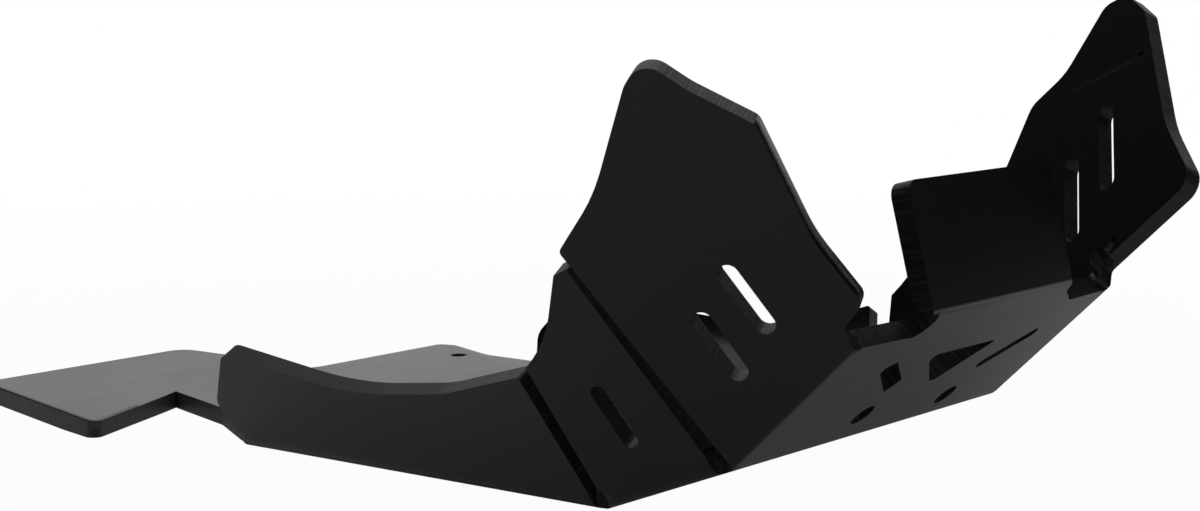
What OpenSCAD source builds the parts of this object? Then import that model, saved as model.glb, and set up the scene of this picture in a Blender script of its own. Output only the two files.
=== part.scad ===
// Motorcycle skid plate: one routed and hot folded plastic sheet, in millimetres.
// +X points to the front of the bike, +Y to its left side and +Z up.

/* [Sheet] */
// Thickness of the sheet
thickness = 8; // [6:0.5:10]
// Outside radius of every fold
fold_radius = 3; // [2:0.5:6]

/* [Base] */
// Width of the flat base between the outside fold lines
base_width = 206.4; // [180:0.2:240]
// Length of the flat base from its rear edge to the first cross fold
base_length = 284; // [260:1:320]
// Outward lean of the rear and middle walls from square
wall_flare = 27.7; // [20:0.1:35]
// Length of each rear wall along the base edge
wall_length = 194; // [170:1:200]
// Height of the rear walls at the lowest point of their scooped edge
wall_low = 40; // [30:1:50]
// Diameter of the round hole at the rear left corner
rear_hole = 8; // [5:0.5:10]

/* [Rear guard] */
// Length of the rear guard behind its crease
guard_length = 84; // [60:1:110]
// Upward tilt of the rear guard
guard_tilt = 1.5; // [0:0.5:4]

/* [Front] */
// Length of the sloped panel between the two cross folds
ramp_length = 61.2; // [50:0.2:75]
// Slope of that panel
ramp_angle = 21.3; // [15:0.1:26]
// Slope of the nose panel
nose_angle = 43.9; // [38:0.1:50]
// Length of the nose panel up to the fold of the top tab
nose_length = 85.4; // [83:0.2:95]
// Angle of the top tab, past 90 leans to the rear
tab_angle = 104.3; // [95:0.1:110]
// Height of the top tab
tab_height = 49.5; // [35:0.5:60]
// Diameter of the two round holes in the nose
nose_hole = 11.5; // [8:0.5:14]

/* [Wings] */
// Outward lean of the right wing from square
right_flare = 29.6; // [24:0.1:36]
// Outward lean of the left wing from square
left_flare = 33.2; // [26:0.1:38]
// Height of the right wing along its slope
right_height = 122.6; // [112:0.2:130]
// Height of the left wing along its slope
left_height = 124.2; // [114:0.2:132]
// Width of the slots in the right wing
right_slot = 8; // [6:0.5:10]
// Width of the slots in the left wing
left_slot = 8.4; // [7:0.2:12]
// Width of the slot in each middle wall
wall_slot = 7; // [5:0.5:9]

/* [Hidden] */
$fn = 96;
half = base_width / 2;
side = half - 0.5;
wall_fold = 90 - wall_flare;
right_fold = 90 - right_flare;
left_fold = 90 - left_flare;
nose_fold = nose_angle - ramp_angle;
tab_fold = tab_angle - nose_angle;
wall_rear = -wall_length - 4;
crease = -base_length - 3.6;
tail_middle = (wall_rear - base_length) / 2;
frame_x = 113.1;
frame_y = -3.75;

function unit(v) = v / norm(v);
function cross2(u, v) = u[0] * v[1] - u[1] * v[0];
function spot(p) = [p[0], p[1]];
function swept(p, i = 0) = i == len(p) ? 0
  : cross2(spot(p[i]), spot(p[(i + 1) % len(p)])) + swept(p, i + 1);

// Material between the corner p and an arc of radius r that touches both of its edges
module corner(a, p, b, r) {
  u = unit(a - p);
  v = unit(b - p);
  half_angle = acos(u * v) / 2;
  reach = r / tan(half_angle);
  centre = p + unit(u + v) * r / sin(half_angle);
  difference() {
    polygon([p + unit(p - centre) * 0.4, p + u * reach, centre, p + v * reach]);
    translate(centre) circle(r = r + 0.003);
  }
}

// Outline through points [x, y, radius], each corner rounded by its own radius
module outline(points) {
  n = len(points);
  spin = sign(swept(points));
  turns = [for (i = [0:n - 1]) spin * cross2(
    spot(points[i]) - spot(points[(i + n - 1) % n]),
    spot(points[(i + 1) % n]) - spot(points[i])
  )];
  difference() {
    union() {
      polygon([for (p = points) spot(p)]);
      for (i = [0:n - 1]) {
        if (points[i][2] > 0 && turns[i] < 0) {
          corner(spot(points[(i + n - 1) % n]), spot(points[i]), spot(points[(i + 1) % n]), points[i][2]);
        }
      }
    }
    for (i = [0:n - 1]) {
      if (points[i][2] > 0 && turns[i] > 0) {
        corner(spot(points[(i + n - 1) % n]), spot(points[i]), spot(points[(i + 1) % n]), points[i][2]);
      }
    }
  }
}

module sheet() {
  linear_extrude(height = thickness) children();
}

// Round-ended slot cutter between two points of the sheet
module slot(a, b, w) {
  d = b - a;
  turn = atan2(d[1], d[0]);
  translate([a[0], a[1], -1]) rotate([0, 0, turn]) {
    translate([0, -w / 2, 0]) cube([norm(d), w, thickness + 2]);
    cylinder(h = thickness + 2, r = w / 2);
    translate([norm(d), 0, 0]) cylinder(h = thickness + 2, r = w / 2);
  }
}

module drill(p, d) {
  translate([p[0], p[1], -1]) cylinder(h = thickness + 2, r = d / 2);
}

// Cutter that rounds the outside of a fold, drawn in y and z and run from x = rear to x = front
module edge_round(fold, rear, front) {
  translate([rear, 0, 0]) rotate([90, 0, 90]) linear_extrude(height = front - rear)
    corner([-40, 0], [0, 0], [40 * cos(fold), 40 * sin(fold)], fold_radius);
}

// The same for a fold across the sheet
module cross_round(fold, reach) {
  translate([0, reach, 0]) rotate([90, 0, 0]) linear_extrude(height = 2 * reach)
    corner([-40, 0], [0, 0], [40 * cos(fold), 40 * sin(fold)], fold_radius);
}

module on_ramp() {
  rotate([0, -ramp_angle, 0]) children();
}

module on_nose() {
  on_ramp() translate([ramp_length, 0, 0]) rotate([0, -nose_fold, 0]) children();
}

module on_tab() {
  on_nose() translate([nose_length, 0, 0]) rotate([0, -tab_fold, 0]) children();
}

// Flat base with the hole at its rear left corner
module base() {
  difference() {
    sheet() outline([
      [0, -side, 0],
      [0, side, 0],
      [wall_rear, side, 0],
      [wall_rear - 1, half - 6, 0],
      [wall_rear - 5, half - 6, 0],
      [wall_rear - 7, half + 4.5, 2],
      [tail_middle, half + 5, 20],
      [9 - base_length, half + 18.5, 5],
      [-base_length, half + 16, 4],
      [-base_length, 30, 0],
      [crease, 14, 0],
      [crease, -half + 40, 0],
      [tail_middle + 1, -half + 25, 20],
      [wall_rear - 9, 6 - half, 2],
      [wall_rear - 1, 6 - half, 0],
      [wall_rear, -side, 0]
    ]);
    drill([tail_middle - 10.5, half - 5.5], rear_hole);
  }
}

// Rear guard behind the crease, tilted a little upward, its underside kept level ahead of the crease
module guard() {
  translate([crease, 0, 0]) difference() {
    rotate([0, guard_tilt, 0]) sheet() outline([
      [0.5, 14, 0],
      [-10, 26, 6],
      [-guard_length, 15, 10],
      [-guard_length, -half - 9, 8],
      [28, -half - 33, 4],
      [4, -half + 28, 0],
      [-1, -half + 40, 0],
      [0.5, -half + 42, 0]
    ]);
    translate([0, -half - 50, -10]) cube([60, base_width, 10]);
  }
}

// Scooped wall along the base edge, drawn with y as its height
module rear_wall(front = [-19.8, 60], dip = [-64, 46], back = [-118, 38.5]) {
  translate([0, half, 0]) rotate([wall_fold, 0, 0]) sheet() outline([
    [wall_rear, 0, 0],
    [-3.8, 0, 0],
    [front[0], wall_low - 40 + front[1], 1.5],
    [dip[0], wall_low - 40 + dip[1], 80],
    [back[0], wall_low - 40 + back[1], 150],
    [wall_rear + 11, wall_low + 10.5, 7],
    [wall_rear - 7, wall_low - 18, 9]
  ]);
}

// Wall beside the ramp with one slot, drawn with y as its height
module middle_wall(rear = [2, 0], corner = [8.4, 66.3], waist = [ramp_length / 2 - 6.6, 73.5]) {
  on_ramp() translate([0, half, 0]) rotate([wall_fold, 0, 0]) difference() {
    sheet() outline([
      [rear[0], rear[1], 0],
      [ramp_length - 4.5, 0, 0],
      [ramp_length - 9.5, 96.8, 1],
      [ramp_length - 15.9, 96.4, 1],
      [waist[0], waist[1], 60],
      [corner[0], corner[1], 1]
    ]);
    slot([ramp_length / 2, 24.5], [ramp_length / 2 + 0.4, 46.5], wall_slot);
  }
}

// Right wing with its two slots, drawn with y as its height
module right_wing() {
  on_nose() translate([0, half, 0]) rotate([right_fold, 0, 0]) difference() {
    sheet() outline([
      [2.5, 0, 0],
      [73.5, 0, 0],
      [77, 8, 3],
      [89.4, 9, 5],
      [96.4, 38, 60],
      [117, right_height - 43.4, 5],
      [111, right_height - 18.6, 40],
      [109, right_height, 8],
      [97, right_height - 1.6, 16],
      [56, right_height - 18.4, 80],
      [29, right_height - 22.2, 2.5]
    ]);
    slot([58.8, 29], [65, 50.5], right_slot);
    slot([36.6, 24], [43.4, 45.6], right_slot);
  }
}

// Left wing with two longer slots and a scored line across its top, drawn with y as its height
module left_wing() {
  on_nose() translate([0, half, 0]) rotate([left_fold, 0, 0]) difference() {
    sheet() outline([
      [2.5, 0, 0],
      [73.5, 0, 0],
      [77, 6.2, 3],
      [132.5, 6.2, 9],
      [132, 42, 60],
      [146, left_height - 21.2, 8],
      [141.6, left_height - 4.8, 7],
      [130, left_height, 8],
      [98, left_height - 13.8, 24],
      [76, left_height - 13.2, 10],
      [50, left_height - 32.2, 20],
      [27, left_height - 38.2, 3]
    ]);
    slot([96.2, 40.8], [108.6, 72.2], left_slot);
    slot([70.8, 32.2], [83, 62.8], left_slot);
    translate([95.4, left_height - 24.4, thickness]) rotate([0, 0, -23]) rotate([45, 0, 0])
      translate([0, -0.8, -0.8]) cube([43, 1.6, 1.6]);
    translate([135.2, left_height - 40.9, thickness - 1]) cylinder(h = 2, r = 2);
    translate([88.4, 11, thickness - 1]) cylinder(h = 2, r = 1.5);
  }
}

// Panel between the two cross folds
module ramp() {
  on_ramp() translate([0, 0.1 - side, 0]) cube([ramp_length, 2 * side - 0.2, thickness]);
}

// Sloped nose with its five cut-outs and the reliefs beside the top tab
module nose_panel() {
  difference() {
    sheet() outline([
      [0, 0.2 - side, 0],
      [73.2, 0.2 - side, 0],
      [72, -61.4, 0],
      [nose_length, -62.4, 0],
      [nose_length, 49.5, 0],
      [nose_length - 6, 53, 0],
      [71, 68, 3],
      [72, side - 0.2, 0],
      [0, side - 0.2, 0]
    ]);
    drill([79, -62.4], 15);
    drill([16.4, -28.5], nose_hole);
    drill([13, 41.5], nose_hole);
    translate([0, 0, -1]) linear_extrude(height = thickness + 2) {
      outline([
        [32, -32, 1.5],
        [38.5, -26.5, 1.5],
        [54.6, -49.5, 1.5],
        [52, -55.5, 1.5],
        [48.7, -55.4, 1.5]
      ]);
      outline([[31, 4.5, 1], [30.5, 9, 1], [52.2, 32, 1], [52.5, -18.5, 2], [48, -17.5, 1]]);
    }
    slot([34, 44], [49.5, 66.5], 6);
  }
}

// Tab folded up from the top edge of the nose
module tab() {
  on_tab() sheet() outline([
    [0, -62.4, 0],
    [tab_height, -62.4, 6],
    [tab_height, 50, 6],
    [0, 49.5, 0]
  ]);
}

// Round ends of the two cuts that part the walls at the cross folds
module kerf_ends() {
  translate([-0.5, half + 1, -4]) cylinder(h = thickness + 8, r = 3);
  on_nose() translate([-1, half + 0.5, -4]) cylinder(h = thickness + 8, r = 3);
}

module skid_plate() {
  color([0.03, 0.03, 0.03]) translate([frame_x, frame_y, 0]) difference() {
    union() {
      base();
      guard();
      ramp();
      on_nose() nose_panel();
      tab();
      rear_wall([-18, 54.8], [-60, 38.6], [-112, 41.5]);
      mirror([0, 1, 0]) rear_wall();
      middle_wall([5, 0], [13.5, 59.5], [ramp_length / 2 - 4.6, 67]);
      mirror([0, 1, 0]) middle_wall();
      left_wing();
      mirror([0, 1, 0]) right_wing();
    }
    cross_round(ramp_angle, half + 1);
    on_ramp() translate([ramp_length, 0, 0]) cross_round(nose_fold, half + 1);
    on_nose() translate([nose_length, 0, 0]) cross_round(tab_fold, 66);
    translate([0, half, 0]) edge_round(wall_fold, wall_rear - 1, 0);
    mirror([0, 1, 0]) translate([0, half, 0]) edge_round(wall_fold, wall_rear - 1, 0);
    on_ramp() translate([0, half, 0]) edge_round(wall_fold, 0, ramp_length);
    on_ramp() mirror([0, 1, 0]) translate([0, half, 0]) edge_round(wall_fold, 0, ramp_length);
    on_nose() translate([0, half, 0]) edge_round(left_fold, 0, 77);
    on_nose() mirror([0, 1, 0]) translate([0, half, 0]) edge_round(right_fold, 0, 77);
    kerf_ends();
    mirror([0, 1, 0]) kerf_ends();
    on_nose() translate([77.2, 3 - half, -8]) cylinder(h = thickness + 16, r = 5);
    on_nose() translate([78, half - 3, -8]) cylinder(h = thickness + 16, r = 5);
  }
}

skid_plate();
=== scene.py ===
"""Studio view of a folded plastic skid plate for a motorcycle, dressed over its CAD model.

Lengths are in metres and angles in degrees, in the frame of the CAD model: +X to the front of the
motorcycle, +Y to its left and +Z up.
"""

from __future__ import annotations

import logging
import math
from collections import Counter
from dataclasses import dataclass
from enum import Enum
from typing import Any

import bmesh
import bpy
from mathutils import Matrix, Vector

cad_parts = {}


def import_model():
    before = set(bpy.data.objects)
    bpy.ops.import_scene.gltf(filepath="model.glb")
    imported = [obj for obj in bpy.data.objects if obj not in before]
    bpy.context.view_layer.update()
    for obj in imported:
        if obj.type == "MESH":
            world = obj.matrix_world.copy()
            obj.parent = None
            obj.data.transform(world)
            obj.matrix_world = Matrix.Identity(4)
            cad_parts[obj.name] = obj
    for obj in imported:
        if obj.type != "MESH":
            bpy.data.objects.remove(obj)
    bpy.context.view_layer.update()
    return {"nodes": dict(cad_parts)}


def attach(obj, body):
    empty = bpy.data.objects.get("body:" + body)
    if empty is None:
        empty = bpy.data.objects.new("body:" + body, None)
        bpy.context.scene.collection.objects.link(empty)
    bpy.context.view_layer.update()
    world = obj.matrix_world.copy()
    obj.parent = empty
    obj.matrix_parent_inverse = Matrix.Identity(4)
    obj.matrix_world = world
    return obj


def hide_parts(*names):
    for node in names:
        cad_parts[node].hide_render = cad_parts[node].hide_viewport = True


log = logging.getLogger("skid_plate")

# Half the width of the sheet between its side folds.
HALF_WIDTH = 0.1032
# How many times a step off the sheet counts, when the panel of a face is looked for.
OFF_SHEET = 3


class Ray(Enum):
    """The kinds of ray that a surface may answer differently."""

    CAMERA = "Is Camera Ray"
    GLOSSY = "Is Glossy Ray"
    CLEAR = "Is Transmission Ray"


class Surface(Enum):
    """Which kind of face of the sheet a face is."""

    SKIN = 0.0
    ROUTED = 1.0


class Panel(Enum):
    """Which folds a panel lies between."""

    MIDDLE = "cross folds at its ends and side folds along it"
    TAB = "one cross fold at its foot"
    WALL = "one side fold at its foot"


class Shader:
    """One output socket of a material, with the operators that shader maths needs."""

    def __init__(self, tree: bpy.types.NodeTree, socket: bpy.types.NodeSocket) -> None:
        """Keeps the tree and the socket."""
        self.tree = tree
        self.socket = socket

    def _math(self, operation: str, *values: Any) -> Shader:
        """Adds a Math node.

        Args:
            operation: the node's operation.
            values: numbers or shaders for its inputs, in order.

        Returns:
            The node's result.
        """
        return node(self.tree, "ShaderNodeMath", {"operation": operation}, dict(enumerate(values)))

    def __add__(self, other: Any) -> Shader:
        """Sum."""
        return self._math("ADD", self, other)

    __radd__ = __add__

    def __sub__(self, other: Any) -> Shader:
        """Difference."""
        return self._math("SUBTRACT", self, other)

    def __rsub__(self, other: Any) -> Shader:
        """Difference with the number first."""
        return self._math("SUBTRACT", other, self)

    def __mul__(self, other: Any) -> Shader:
        """Product."""
        return self._math("MULTIPLY", self, other)

    __rmul__ = __mul__

    def __abs__(self) -> Shader:
        """Size without its sign."""
        return self._math("ABSOLUTE", self)

    def least(self, other: Any) -> Shader:
        """The smaller of two values."""
        return self._math("MINIMUM", self, other)

    def step(self, low: float, high: float) -> Shader:
        """Smooth step.

        Args:
            low: the value that gives 0.
            high: the value that gives 1.

        Returns:
            The stepped value.
        """
        return node(
            self.tree,
            "ShaderNodeMapRange",
            {"interpolation_type": "SMOOTHSTEP"},
            {"Value": self, "From Min": low, "From Max": high},
        )


def node(
    tree: bpy.types.NodeTree,
    kind: str,
    settings: dict[str, Any],
    inputs: dict[Any, Any],
    out: Any = 0,
) -> Shader:
    """Makes one node of a material.

    Args:
        tree: the material's node tree.
        kind: the node's type.
        settings: its own settings, set first.
        inputs: numbers, vectors or shaders for its input sockets, by name or place.
        out: which output to return.

    Returns:
        The output as a shader.
    """
    made = tree.nodes.new(kind)
    for key, value in settings.items():
        setattr(made, key, value)
    for key, value in inputs.items():
        if isinstance(value, Shader):
            tree.links.new(value.socket, made.inputs[key])
        else:
            made.inputs[key].default_value = value
    return Shader(tree, made.outputs[out])


def attribute(tree: bpy.types.NodeTree, name: str, out: str = "Fac") -> Shader:
    """Reads an attribute of the mesh."""
    return node(tree, "ShaderNodeAttribute", {"attribute_name": name}, {}, out)


def light_path(tree: bpy.types.NodeTree, ray: Ray) -> Shader:
    """Gives 1 for rays of one kind and 0 for the others."""
    return node(tree, "ShaderNodeLightPath", {}, {}, ray.value)


def blend(share: Shader, first: Any, second: Any) -> Shader:
    """Mixes two colours.

    Args:
        share: how much of the second shows.
        first: a colour, or a shader that gives one.
        second: the other.

    Returns:
        The mixed colour.
    """
    kind = {"data_type": "RGBA"}
    return node(share.tree, "ShaderNodeMix", kind, {0: share, 6: first, 7: second}, 2)


@dataclass(frozen=True)
class Pattern:
    """A noise pattern, which may be drawn out into streaks."""

    # How fine it is, per metre, its octaves, and how strong the finer ones are.
    scale: float
    detail: float
    rough: float = 0.5
    # A small factor draws the pattern out along, sideways or through the sheet.
    stretch: tuple[float, float, float] = (1.0, 1.0, 1.0)

    def lay(self, where: Shader) -> Shader:
        """Lays the pattern.

        Args:
            where: the coordinates.

        Returns:
            A value round 0.5.
        """
        spread = {0: where, 1: self.stretch}
        place = node(where.tree, "ShaderNodeVectorMath", {"operation": "MULTIPLY"}, spread)
        inputs = {
            "Vector": place,
            "Scale": self.scale,
            "Detail": self.detail,
            "Roughness": self.rough,
        }
        return node(where.tree, "ShaderNodeTexNoise", {}, inputs)


@dataclass(frozen=True)
class Marks:
    """The places, masks and patterns of the sheet that its finish is made from.

    The place on a panel is its drawing's own: along, sideways and through the sheet. On a wall,
    sideways is the height above its fold.
    """

    along: Shader
    sideways: Shader
    routed: Shader
    wall: Shader
    crossed: Shader
    cloud: Shader
    grain: Shader
    drag: Shader
    chatter: Shader
    scratch: Shader


@dataclass(frozen=True)
class SheetFinish:
    """Black high-density plastic sheet: a satin skin, and routed edges with cutter marks, whose
    paler ribs are partly a painted highlight.
    """

    skin: tuple[float, float, float, float] = (0.0056, 0.0043, 0.0053, 1.0)
    inner: tuple[float, float, float, float] = (0.0044, 0.0035, 0.0042, 1.0)
    routed: tuple[float, float, float, float] = (0.0038, 0.0037, 0.0038, 1.0)
    # The paler ribs of the cut faces: partly the cutter's marks, partly a painted highlight along
    # the rims and the slanted faces of the score groove.
    scuff_and_highlight: tuple[float, float, float, float] = (0.024, 0.023, 0.0235, 1.0)
    inner_fade: tuple[float, float] = (0.3, 0.7)
    scuff_and_highlight_share: float = 0.7
    scuff_and_highlight_fade: tuple[float, float] = (0.42, 0.66)
    # The cut edges of the rear guard, behind the crease across the base, are paler, unevenly in
    # clouds.
    pale_guard_edge: tuple[float, float, float, float] = (0.105, 0.103, 0.104, 1.0)
    pale_guard_share: float = 0.45
    pale_guard_least: float = 0.5
    pale_guard_clouds: float = 0.6
    pale_guard_fade: tuple[float, float] = (-0.2976, -0.2176)
    # Clouds and grain lie in the object, and the others along the panels.
    cloud: Pattern = Pattern(14.0, 3.0)
    grain: Pattern = Pattern(900.0, 2.0)
    drag: Pattern = Pattern(260.0, 3.0, rough=0.6, stretch=(1.0, 0.06, 1.0))
    chatter: Pattern = Pattern(1050.0, 2.0, rough=0.6, stretch=(1.0, 1.0, 0.04))
    streaks: Pattern = Pattern(900.0, 2.0, stretch=(0.05, 1.0, 1.0))
    # Only the strongest streaks are scratches, and only where the clouds are thick.
    streak_fade: tuple[float, float] = (0.70, 0.82)
    thick_fade: tuple[float, float] = (0.45, 0.75)
    refraction: float = 1.50
    skin_roughness: float = 0.31
    routed_roughness: float = 0.50
    # How much each pattern changes the roughness.
    cloud_sheen: float = 0.08
    drag_sheen: float = 0.06
    scratch_sheen: float = 0.10
    chatter_sheen: float = 0.25
    # How deep each pattern is, as a share of the bump's own distance.
    grain_depth: float = 0.10
    drag_depth: float = 0.25
    scratch_depth: float = 0.3
    chatter_depth: float = 5.0
    bump_distance: float = 0.00018
    bump_strength: float = 0.5
    # The outside roundings of the folds are shaded over this reach, and fade out beyond it.
    fold_reach: float = 0.006
    fold_fade: tuple[float, float] = (0.5, 1.4)
    fold_samples: int = 8

    def make(self) -> bpy.types.Material:
        """Builds the material.

        Returns:
            The finished material.
        """
        material = bpy.data.materials.new("sheet_plastic")
        material.use_nodes = True
        tree = material.node_tree
        shader = tree.nodes["Principled BSDF"]
        marks = self.marks(tree)
        relief = {
            "Height": self.height(marks),
            "Distance": self.bump_distance,
            "Strength": self.bump_strength,
            "Normal": self.softened(tree, marks),
        }
        bump = node(tree, "ShaderNodeBump", {}, relief, "Normal")
        tree.links.new(self.colour(marks).socket, shader.inputs["Base Color"])
        tree.links.new(self.roughness(marks).socket, shader.inputs["Roughness"])
        tree.links.new(bump.socket, shader.inputs["Normal"])
        shader.inputs["IOR"].default_value = self.refraction
        return material

    def marks(self, tree: bpy.types.NodeTree) -> Marks:
        """Reads the sheet's attributes and lays its patterns.

        Args:
            tree: the material's node tree.

        Returns:
            The places, masks and patterns.
        """
        place = node(tree, "ShaderNodeTexCoord", {}, {}, "Object")
        on_panel = attribute(tree, "sheet_place", "Vector")
        cloud = self.cloud.lay(place)
        streaks = self.streaks.lay(on_panel)
        return Marks(
            along=node(tree, "ShaderNodeSeparateXYZ", {}, {"Vector": on_panel}, "X"),
            sideways=node(tree, "ShaderNodeSeparateXYZ", {}, {"Vector": on_panel}, "Y"),
            routed=attribute(tree, "routed"),
            wall=attribute(tree, "wall"),
            crossed=attribute(tree, "crossed"),
            cloud=cloud,
            grain=self.grain.lay(place),
            drag=self.drag.lay(on_panel),
            chatter=self.chatter.lay(on_panel),
            scratch=streaks.step(*self.streak_fade) * cloud.step(*self.thick_fade),
        )

    def colour(self, marks: Marks) -> Shader:
        """Colours the skin, the cut faces with their paler ribs, partly a painted highlight, and
        the paler edges of the rear guard.

        Args:
            marks: the sheet's masks and patterns.

        Returns:
            The base colour.
        """
        skin = blend(marks.cloud.step(*self.inner_fade), self.skin, self.inner)
        edged = blend(marks.routed, skin, self.routed)
        # Painted highlight, partly cutter marks: the cut faces are paler where the chatter ribs are
        # strongest.
        scuff_and_highlight_mask = marks.routed * marks.chatter.step(*self.scuff_and_highlight_fade) * self.scuff_and_highlight_share
        scuffed_and_highlit = blend(scuff_and_highlight_mask, edged, self.scuff_and_highlight)
        # The rear guard's cut edges are made paler, in uneven clouds.
        pale_guard_mask = marks.crossed * marks.routed * (1.0 - marks.along.step(*self.pale_guard_fade))
        uneven = marks.cloud * self.pale_guard_clouds + self.pale_guard_least
        return blend(pale_guard_mask * uneven * self.pale_guard_share, scuffed_and_highlit, self.pale_guard_edge)

    def roughness(self, marks: Marks) -> Shader:
        """Makes the skin satin and the cut faces duller, each with its own unevenness.

        Args:
            marks: the sheet's masks and patterns.

        Returns:
            The roughness.
        """
        clouded = (marks.cloud - 0.5) * self.cloud_sheen + (marks.drag - 0.5) * self.drag_sheen
        skin = self.skin_roughness + clouded + marks.scratch * self.scratch_sheen
        duller = self.routed_roughness - self.skin_roughness
        return skin + marks.routed * ((marks.chatter - 0.5) * self.chatter_sheen + duller)

    def height(self, marks: Marks) -> Shader:
        """Raises the grain of the skin and the cutter's ribs.

        Args:
            marks: the sheet's masks and patterns.

        Returns:
            The height for the bump.
        """
        raised = marks.grain * self.grain_depth + marks.drag * self.drag_depth
        skin = raised - marks.scratch * self.scratch_depth
        return (1.0 - marks.routed) * skin + marks.routed * marks.chatter * self.chatter_depth

    def softened(self, tree: bpy.types.NodeTree, marks: Marks) -> Shader:
        """Rounds the shading of the skin beside a fold.

        Args:
            tree: the material's node tree.
            marks: the sheet's masks and places.

        Returns:
            The normal.
        """
        from_side = HALF_WIDTH - abs(marks.sideways)
        to_side_fold = marks.wall * marks.sideways + (1.0 - marks.wall) * from_side
        to_cross_fold = abs(marks.along) + (1.0 - marks.crossed)
        start, end = (self.fold_reach * share for share in self.fold_fade)
        beside = 1.0 - to_side_fold.least(to_cross_fold).step(start, end)
        flat = node(tree, "ShaderNodeNewGeometry", {}, {}, "Normal")
        samples = {"samples": self.fold_samples}
        turned = node(tree, "ShaderNodeBevel", samples, {"Radius": self.fold_reach}, "Normal")
        mixed = {0: beside * (1.0 - marks.routed), 4: flat, 5: turned}
        return node(tree, "ShaderNodeMix", {"data_type": "VECTOR"}, mixed, 1)


@dataclass(frozen=True)
class WhitePaper:
    """Paper that looks white to the camera, and greyer in the sheet's gloss."""

    name: str
    # How pale the paper itself is.
    level: float
    # How much of the white shows in reflections, and the same right beside the nose, where a lower
    # value paints the object's shadow on the floor into the sheet's gloss.
    gloss: float
    gloss_in_painted_shadow: float
    # How white it looks to the camera next to the object, where it keeps a soft shadow.
    near: float = 1.0
    nose_spot: tuple[float, float, float] = (0.3, -0.1, 0.0)
    gloss_fade: tuple[float, float] = (0.18, 0.6)
    shadow_fade: tuple[float, float] = (0.35, 1.3)
    roughness: float = 0.9

    def make(self) -> bpy.types.Material:
        """Builds the material.

        Returns:
            The finished material.
        """
        material = bpy.data.materials.new(self.name)
        material.use_nodes = True
        material.cycles.emission_sampling = "NONE"
        tree = material.node_tree
        shader = tree.nodes["Principled BSDF"]
        shader.inputs["Base Color"].default_value = (self.level, self.level, self.level, 1)
        shader.inputs["Roughness"].default_value = self.roughness
        shader.inputs["Specular IOR Level"].default_value = 0.0
        glow = node(tree, "ShaderNodeEmission", {}, {"Color": (1, 1, 1, 1), "Strength": 1.0})
        paper = Shader(tree, shader.outputs[0])
        mixed = node(tree, "ShaderNodeMixShader", {}, {0: self.white(tree), 1: paper, 2: glow})
        tree.links.new(mixed.socket, tree.nodes["Material Output"].inputs["Surface"])
        return material

    def white(self, tree: bpy.types.NodeTree) -> Shader:
        """Works out how white the paper looks to each kind of ray.

        Args:
            tree: the material's node tree.

        Returns:
            The share of pure white.
        """
        place = node(tree, "ShaderNodeTexCoord", {}, {}, "Object")
        from_middle = node(tree, "ShaderNodeVectorMath", {"operation": "LENGTH"}, {0: place}, 1)
        to_nose = {0: place, 1: self.nose_spot}
        from_nose = node(tree, "ShaderNodeVectorMath", {"operation": "DISTANCE"}, to_nose, 1)
        seen = from_middle.step(*self.shadow_fade) * (1.0 - self.near) + self.near
        # Painted shadow: the paper's glow in reflections is dimmer near the nose.
        gloss_with_painted_shadow = from_nose.step(*self.gloss_fade) * (self.gloss - self.gloss_in_painted_shadow) + self.gloss_in_painted_shadow
        straight = light_path(tree, Ray.CAMERA) + light_path(tree, Ray.CLEAR)
        return straight * seen + light_path(tree, Ray.GLOSSY) * gloss_with_painted_shadow


@dataclass(frozen=True)
class Fold:
    """A flat panel of the folded sheet, with the drawing that it was cut from."""

    name: str
    kind: Panel
    # Turns a point of the object into the drawing: along, sideways and through the sheet.
    to_drawing: Matrix
    along: tuple[float, float]
    sideways: tuple[float, float]

    def miss(self, point: Vector, thickness: float) -> float:
        """How far a point lies outside the panel.

        Args:
            point: the point on the object.
            thickness: the sheet's thickness.

        Returns:
            The distance, nearly 0 inside, with a step off the sheet counted more.
        """
        drawn = self.to_drawing @ point
        through = max(0.0, -drawn.z, drawn.z - thickness)
        out_along = max(0.0, self.along[0] - drawn.x, drawn.x - self.along[1])
        out_sideways = max(0.0, self.sideways[0] - drawn.y, drawn.y - self.sideways[1])
        return through * OFF_SHEET + out_along + out_sideways


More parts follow.
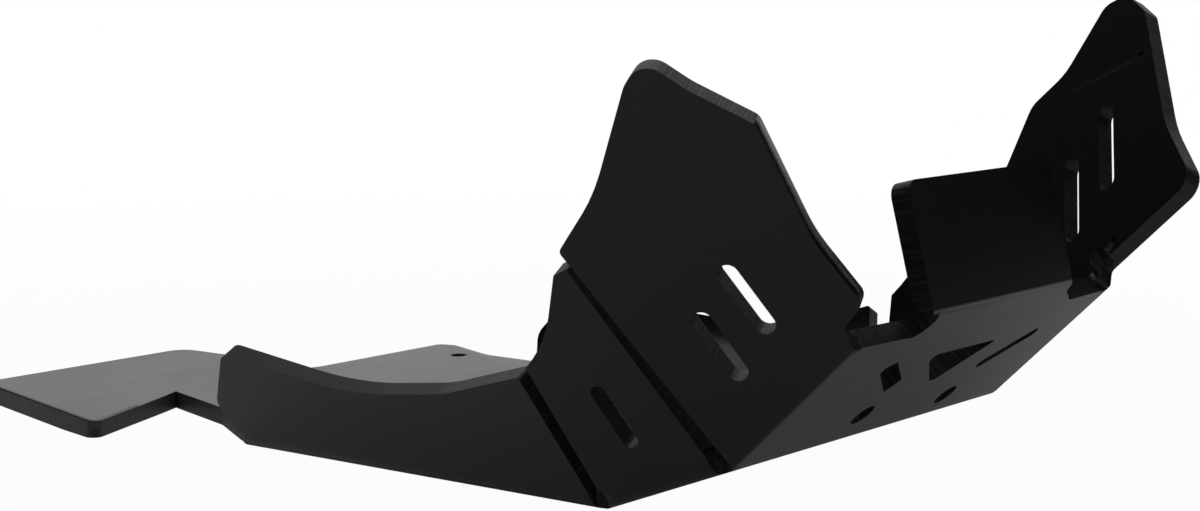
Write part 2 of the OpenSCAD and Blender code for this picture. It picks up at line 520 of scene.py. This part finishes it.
@dataclass
class SkidPlate:
    """The folded sheet, with eased edges and the marks of its making.

    The fold lines and angles are the solid's own. Angles of the floor panels are from the
    horizontal, and flares are from the upright.
    """

    thickness: float = 0.008
    half_width: float = HALF_WIDTH
    ramp_length: float = 0.0612
    ramp_angle: float = 21.3
    nose_angle: float = 43.9
    nose_length: float = 0.0854
    tab_angle: float = 104.3
    wall_flare: float = 27.7
    right_flare: float = 29.6
    left_flare: float = 33.2
    rear_wall_along: tuple[float, float] = (-0.21, -0.002)
    wall_foot: float = 0.001
    # Where the fold between base and ramp crosses the middle of the sheet.
    shift: tuple[float, float, float] = (0.1131, -0.00375, 0.0)
    # How far cut edges are eased, and from which angle an edge counts as cut.
    edge: float = 0.0007
    cut_angle: float = 35.0
    # Corners closer than merge are one, edges under speck vanish, faces within flat_angle join.
    merge: float = 2e-6
    speck: float = 1e-5
    eased_speck: float = 1e-6
    flat_angle: float = 0.4
    shade_angle: float = 40.0
    # A face is skin where its normal is at least this much across the sheet.
    # The score groove's slanted faces fall short of it, so they take the cut faces' finish with its
    # painted highlight.
    skin_limit: float = 0.80

    def folds(self) -> list[Fold]:
        """The panels of the sheet, from the same folds as the solid.

        Returns:
            One panel for each flat part of the sheet.
        """

        def lean(angle: float) -> Matrix:
            """Turn that lifts the front of a panel."""
            return Matrix.Rotation(math.radians(-angle), 4, "Y")

        def ahead(length: float) -> Matrix:
            """Step to the far end of a panel."""
            return Matrix.Translation((length, 0, 0))

        def flap(flare: float) -> Matrix:
            """A wall on the left side of its panel."""
            upright = Matrix.Rotation(math.radians(90 - flare), 4, "X")
            return Matrix.Translation((0, self.half_width, 0)) @ upright

        base = Matrix.Translation(self.shift)
        ramp = base @ lean(self.ramp_angle)
        nose = ramp @ ahead(self.ramp_length) @ lean(self.nose_angle - self.ramp_angle)
        tab = nose @ ahead(self.nose_length) @ lean(self.tab_angle - self.nose_angle)
        ramp_along = (0.0, self.ramp_length)
        nose_along = (0.0, self.nose_length)
        across = (-self.half_width, self.half_width)
        past_all, past_sides = 1.0, 0.5
        anywhere = (-past_sides, past_sides)
        panels = [
            Fold("base", Panel.MIDDLE, base.inverted(), (-past_all, 0.0), anywhere),
            Fold("ramp", Panel.MIDDLE, ramp.inverted(), ramp_along, across),
            Fold("nose", Panel.MIDDLE, nose.inverted(), nose_along, across),
            Fold("tab", Panel.TAB, tab.inverted(), (0.0, past_all), anywhere),
        ]
        mirrored = Matrix.Diagonal((1, -1, 1, 1))
        above = (self.wall_foot, past_all)
        for name, carrier, left, right, along in (
            ("rear", base, self.wall_flare, self.wall_flare, self.rear_wall_along),
            ("middle", ramp, self.wall_flare, self.wall_flare, ramp_along),
            ("wing", nose, self.left_flare, self.right_flare, (-past_all, past_all)),
        ):
            left_frame = carrier @ flap(left)
            right_frame = carrier @ mirrored @ flap(right)
            panels += [
                Fold(f"{name}_left", Panel.WALL, left_frame.inverted(), along, above),
                Fold(f"{name}_right", Panel.WALL, right_frame.inverted(), along, above),
            ]
        return panels

    def build(self, source: bpy.types.Object) -> bpy.types.Object:
        """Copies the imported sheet, eases its edges and marks its faces.

        Args:
            source: the CAD node.

        Returns:
            The dressed sheet.
        """
        mesh = source.data.copy()
        piece = bpy.data.objects.new("folded_sheet", mesh)
        bpy.context.scene.collection.objects.link(piece)
        form = bmesh.new()
        form.from_mesh(mesh)
        self.clean(form)
        eased = self.ease(form)
        self.mark(form)
        for face in form.faces:
            face.smooth = True
        form.to_mesh(mesh)
        form.free()
        mesh.set_sharp_from_angle(angle=math.radians(self.shade_angle))
        weight = piece.modifiers.new("even_shading", "WEIGHTED_NORMAL")
        weight.keep_sharp = True
        mesh.materials.clear()
        mesh.materials.append(SheetFinish().make())
        log.info("folded_sheet: %d faces, %d eased edges", len(mesh.polygons), eased)
        return piece

    def clean(self, form: bmesh.types.BMesh) -> None:
        """Joins the loose triangles of the CAD mesh into the sheet's own faces.

        Args:
            form: the sheet's mesh.
        """
        bmesh.ops.remove_doubles(form, verts=form.verts, dist=self.merge)
        bmesh.ops.dissolve_degenerate(form, edges=form.edges, dist=self.speck)
        bmesh.ops.dissolve_limit(
            form,
            angle_limit=math.radians(self.flat_angle),
            verts=form.verts,
            edges=form.edges,
            delimit={"NORMAL"},
        )

    def ease(self, form: bmesh.types.BMesh) -> int:
        """Eases every cut edge.

        Args:
            form: the sheet's mesh.

        Returns:
            How many edges were eased.
        """
        cut = math.radians(self.cut_angle)
        joined = [e for e in form.edges if len(e.link_faces) == 2]
        sharp = [e for e in joined if e.calc_face_angle(0.0) > cut]
        bmesh.ops.bevel(
            form,
            geom=sharp,
            offset=self.edge,
            offset_type="OFFSET",
            affect="EDGES",
            segments=2,
            profile=0.5,
            material=-1,
            clamp_overlap=True,
        )
        bmesh.ops.dissolve_degenerate(form, edges=form.edges, dist=self.eased_speck)
        return len(sharp)

    def mark(self, form: bmesh.types.BMesh) -> None:
        """Writes each corner's place on its panel, the folds beside it and how its face was made.

        Args:
            form: the sheet's mesh.
        """
        routed = form.loops.layers.float.new("routed")
        place = form.loops.layers.float_vector.new("sheet_place")
        wall = form.loops.layers.float.new("wall")
        crossed = form.loops.layers.float.new("crossed")
        folds = self.folds()
        found: Counter[str] = Counter()
        for face in form.faces:
            middle = face.calc_center_median()
            panel = min(folds, key=lambda fold: fold.miss(middle, self.thickness))
            found[panel.name] += 1
            normal = (panel.to_drawing.to_3x3() @ face.normal).normalized()
            surface = Surface.SKIN if abs(normal.z) > self.skin_limit else Surface.ROUTED
            for loop in face.loops:
                loop[routed] = surface.value
                loop[place] = panel.to_drawing @ loop.vert.co
                loop[wall] = float(panel.kind is Panel.WALL)
                loop[crossed] = float(panel.kind is Panel.MIDDLE)
        for name, faces in found.items():
            log.info("%s: %d faces", name, faces)


@dataclass
class Studio:
    """The camera, the lamp, the floor, the backdrop and the white surround."""

    eye: tuple[float, float, float] = (0.62229, -0.76713, 0.19838)
    # The camera looks this far round from straight back, and this far down.
    turn: float = 52.23
    tip: float = 6.86
    # Focal length and sensor width, in millimetres.
    lens: float = 66.744
    sensor: float = 36.0
    clip_start: float = 0.01
    clip_end: float = 50.0
    # How bright the surround is as light on the object, and in its gloss.
    fill: float = 0.35
    dim: float = 0.012
    floor_half: float = 8.0
    floor_drop: float = 0.0005
    backdrop_away: float = 2.6
    backdrop_half: float = 2.2
    backdrop_turn: float = 62.0
    lamp_place: tuple[float, float, float] = (-0.3, 0.3, 1.9)
    lamp_aim: tuple[float, float, float] = (0.0, 0.0, 0.08)
    lamp_size: float = 1.6
    lamp_power: float = 8.0
    # The floor's glow in the sheet's gloss is dimmer beside the nose: a painted shadow.
    floor_paper: WhitePaper = WhitePaper(
        "floor_paper", level=0.32, gloss=0.36, gloss_in_painted_shadow=0.14, near=0.97
    )
    backdrop_card: WhitePaper = WhitePaper("backdrop_card", level=0.8, gloss=0.72, gloss_in_painted_shadow=0.72)

    def camera(self) -> None:
        """Sets the camera where the photograph was taken from."""
        data = bpy.data.cameras.new("camera")
        data.lens = self.lens
        data.sensor_width = self.sensor
        data.sensor_fit = "HORIZONTAL"
        data.clip_start = self.clip_start
        data.clip_end = self.clip_end
        camera = bpy.data.objects.new("camera", data)
        bpy.context.scene.collection.objects.link(camera)
        turn, tip = math.radians(self.turn), math.radians(self.tip)
        level = Vector((-math.cos(turn), math.sin(turn), 0)) * math.cos(tip)
        look = level - Vector((0, 0, math.sin(tip)))
        camera.location = self.eye
        camera.rotation_mode = "QUATERNION"
        camera.rotation_quaternion = look.to_track_quat("-Z", "Y")
        bpy.context.scene.camera = camera

    def lamp(self) -> None:
        """Hangs one soft square lamp over the object."""
        data = bpy.data.lights.new("overhead", "AREA")
        data.shape = "SQUARE"
        data.size = self.lamp_size
        data.energy = self.lamp_power
        lamp = bpy.data.objects.new("overhead", data)
        lamp.location = self.lamp_place
        lamp.rotation_mode = "QUATERNION"
        down = Vector(self.lamp_aim) - Vector(self.lamp_place)
        lamp.rotation_quaternion = down.to_track_quat("-Z", "Y")
        bpy.context.scene.collection.objects.link(lamp)

    def surround(self) -> None:
        """White to the camera, a soft light for the object, and dim in its gloss."""
        world = bpy.data.worlds.new("surround")
        bpy.context.scene.world = world
        world.use_nodes = True
        tree = world.node_tree
        background = tree.nodes["Background"]
        straight = light_path(tree, Ray.CAMERA) + light_path(tree, Ray.CLEAR)
        in_gloss = light_path(tree, Ray.GLOSSY) * (self.dim - self.fill)
        strength = self.fill + straight * (1.0 - self.fill) + in_gloss
        tree.links.new(strength.socket, background.inputs["Strength"])
        background.inputs["Color"].default_value = (1, 1, 1, 1)

    def paper(self, name: str, place: Matrix, half: float, finish: WhitePaper) -> None:
        """Stages a flat square of paper.

        Args:
            name: its name.
            place: where its middle stands, and how it is turned.
            half: half its side.
            finish: its finish.
        """
        form = bmesh.new()
        bmesh.ops.create_grid(form, x_segments=1, y_segments=1, size=half)
        bmesh.ops.transform(form, matrix=place, verts=form.verts)
        mesh = bpy.data.meshes.new(name)
        form.to_mesh(mesh)
        form.free()
        mesh.materials.append(finish.make())
        piece = bpy.data.objects.new(name, mesh)
        bpy.context.scene.collection.objects.link(piece)
        log.info("%s: staged, %.1f m wide", name, 2 * half)

    def build(self) -> None:
        """Sets up the whole studio."""
        self.camera()
        self.surround()
        below = Matrix.Translation((0, 0, -self.floor_drop))
        self.paper("floor", below, self.floor_half, self.floor_paper)
        turn = math.radians(self.backdrop_turn)
        behind = Vector((-math.cos(turn), math.sin(turn), 0)) * self.backdrop_away
        facing = behind.to_track_quat("Z", "Y").to_matrix().to_4x4()
        stand = Matrix.Translation(behind + Vector((0, 0, self.backdrop_half))) @ facing
        self.paper("backdrop", stand, self.backdrop_half, self.backdrop_card)
        self.lamp()


def main() -> None:
    """Builds the sheet and its studio."""
    logging.basicConfig(level=logging.INFO, format="%(name)s: %(message)s")
    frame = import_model()
    Studio().build()
    sheet = SkidPlate().build(frame["nodes"]["skid_plate"])
    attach(sheet, "root")
    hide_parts("skid_plate")
    bpy.context.scene.view_settings.view_transform = "Standard"
    bpy.context.view_layer.update()


if __name__ == "__main__":
    main()
